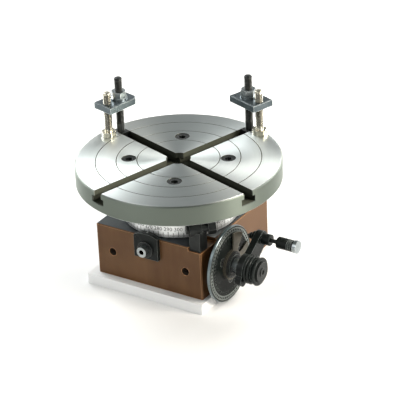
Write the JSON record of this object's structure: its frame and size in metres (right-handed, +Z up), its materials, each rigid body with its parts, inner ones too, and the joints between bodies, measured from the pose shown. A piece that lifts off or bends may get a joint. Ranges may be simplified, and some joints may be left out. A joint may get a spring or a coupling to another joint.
{
  "type": "dividing head",
  "caption": "Horizontal dividing head: round T-slotted table on a vertical spindle over a block housing, with side hole plate, index crank and two strap clamps.",
  "frame": {"origin": "on the spindle axis, in the plane of the housing's base", "axes": "+Z up along the spindle axis, -Y out of the housing's front with the zero-index plate, +X along the worm axis towards the crank"},
  "size_m": [0.1732, 0.152, 0.1338],
  "materials": {
    "housing_brown": "semi-gloss brown",
    "table_steel": "turned in circles",
    "scale_satin": "satin chrome with dark graduations",
    "bright_steel": "ground",
    "dark_steel": "blackened, oiled",
    "black_steel": "gloss black",
    "strap_steel": "milled, grey-blue",
    "jack_steel": "zinc plated",
    "bronze": "turned"
  },
  "bodies": {
    "housing": {"housing": "housing_brown", "index_plate": "black_steel", "index_plate_washer": "dark_steel", "index_plate_screw": "bright_steel", "top_bush": "bronze", "low_bush": "bronze", "base_cover": "dark_steel", "base_cover_screws": "dark_steel", "worm_tail_bush": "bronze", "plate_carrier": "bright_steel", "carrier_screws": "dark_steel", "dividing_plate": "black_steel", "plate_screws": "dark_steel", "sector_snap_ring": "dark_steel", "sector_spring": "bright_steel", "lock_post": "dark_steel"},
    "table": {"table": "table_steel", "table_screws": "dark_steel", "spindle": "bright_steel", "scale_ring": "scale_satin", "worm_wheel": "bronze", "wheel_key": "dark_steel", "thrust_washer": "bronze", "ring_nut": "dark_steel"},
    "crank": {"worm": "bright_steel", "crank_spacer": "bright_steel", "crank_arm": "black_steel", "crank_knob": "black_steel", "crank_disc": "dark_steel", "crank_screw": "dark_steel", "plunger_sleeve": "black_steel", "plunger_spring": "bright_steel"},
    "plunger": {"index_pin": "bright_steel", "plunger_grip": "black_steel", "plunger_cap": "bright_steel"},
    "sector_front": {"sector_front_arm": "bright_steel"},
    "sector_rear": {"sector_rear_arm": "bright_steel"},
    "lock_screw": {"lock_screw": "dark_steel"},
    "lock_plug": {"lock_plug": "bronze"},
    "left_clamp": {"left_tee_nut": "dark_steel", "left_stud": "dark_steel"},
    "left_jack": {"left_jack_screw": "jack_steel"},
    "left_strap": {"left_strap": "strap_steel", "left_nut": "bright_steel", "left_washer": "bright_steel"},
    "right_clamp": {"right_tee_nut": "dark_steel", "right_stud": "dark_steel"},
    "right_jack": {"right_jack_screw": "jack_steel"},
    "right_strap": {"right_strap": "strap_steel", "right_nut": "bright_steel", "right_washer": "bright_steel"}
  },
  "joints": [
    {"name": "table_turn", "type": "hinge", "parent": "housing", "child": "table", "pos_m": [0, 0, 0.041], "axis": [0, 0, 1], "continuous": true},
    {"name": "crank_turn", "type": "hinge", "parent": "housing", "child": "crank", "pos_m": [0, -0.021, 0.0205], "axis": [1, 0, 0], "continuous": true},
    {"name": "plunger_slide", "type": "slide", "parent": "crank", "child": "plunger", "axis": [-1, 0, 0], "range_m": [0, 0.0046], "deforming": ["plunger_spring"]},
    {"name": "sector_turn", "type": "hinge", "parent": "housing", "child": "sector_front", "pos_m": [0.0539, -0.021, 0.0205], "axis": [1, 0, 0], "continuous": true},
    {"name": "sector_open", "type": "hinge", "parent": "sector_front", "child": "sector_rear", "pos_m": [0.0539, -0.021, 0.0205], "axis": [1, 0, 0], "range_deg": [-180, 34]},
    {"name": "lock_turn", "type": "hinge", "parent": "housing", "child": "lock_screw", "pos_m": [0.03717, -0.03986, 0.0536], "axis": [-0.7314, -0.682, 0], "range_deg": [0, 95]},
    {"name": "lock_press", "type": "slide", "parent": "housing", "child": "lock_plug", "axis": [-0.682, 0.7314, 0], "range_m": [0, 0.00025]},
    {"name": "left_clamp_slide", "type": "slide", "parent": "table", "child": "left_clamp", "axis": [0.9548, -0.2974, 0], "range_m": [0, 0.024]},
    {"name": "left_strap_swing", "type": "hinge", "parent": "left_clamp", "child": "left_jack", "pos_m": [-0.06282, 0.01957, 0.083], "axis": [0, 0, 1], "continuous": true},
    {"name": "left_strap_height", "type": "slide", "parent": "left_jack", "child": "left_strap", "axis": [0, 0, 1], "range_m": [-0.015, 0.008]},
    {"name": "right_clamp_slide", "type": "slide", "parent": "table", "child": "right_clamp", "axis": [-0.2974, -0.9548, 0], "range_m": [0, 0.024]},
    {"name": "right_strap_swing", "type": "hinge", "parent": "right_clamp", "child": "right_jack", "pos_m": [0.02052, 0.06588, 0.083], "axis": [0, 0, 1], "continuous": true},
    {"name": "right_strap_height", "type": "slide", "parent": "right_jack", "child": "right_strap", "axis": [0, 0, 1], "range_m": [-0.015, 0.008]}
  ],
  "couplings": [
    {"joint": "crank_turn", "follows": "table_turn", "ratio": -40},
    {"joint": "lock_turn", "follows": "lock_press", "rad_per_m": 6283.2}
  ]
}
